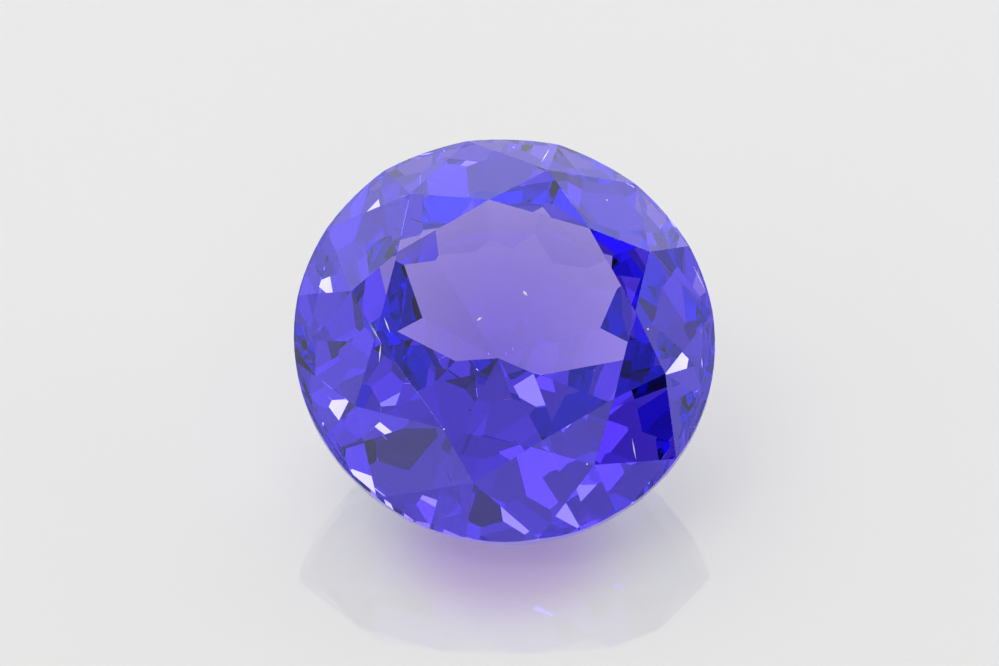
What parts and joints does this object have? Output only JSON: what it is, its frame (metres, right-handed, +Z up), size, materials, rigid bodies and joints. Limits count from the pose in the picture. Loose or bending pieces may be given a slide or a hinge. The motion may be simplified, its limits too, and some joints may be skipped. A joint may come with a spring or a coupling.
{
  "type": "round cut tanzanite gemstone",
  "caption": "Loose round cut tanzanite: clear violet-blue crystal with a flat table, faceted crown, thin girdle and deep pointed pavilion, lying tilted on one facet.",
  "frame": {"origin": "on the floor, in the resting facet's plane, straight below the middle of the girdle", "axes": "+Z up, +X to the right in the picture, -Y towards the viewer: the table leans towards -Y"},
  "size_m": [0.01, 0.0086, 0.0066],
  "materials": {
    "crystal": "polished clear crystal, refractive index about 1.695, violet-blue by absorption"
  },
  "bodies": {
    "root": {"tanzanite": "crystal"}
  },
  "joints": []
}
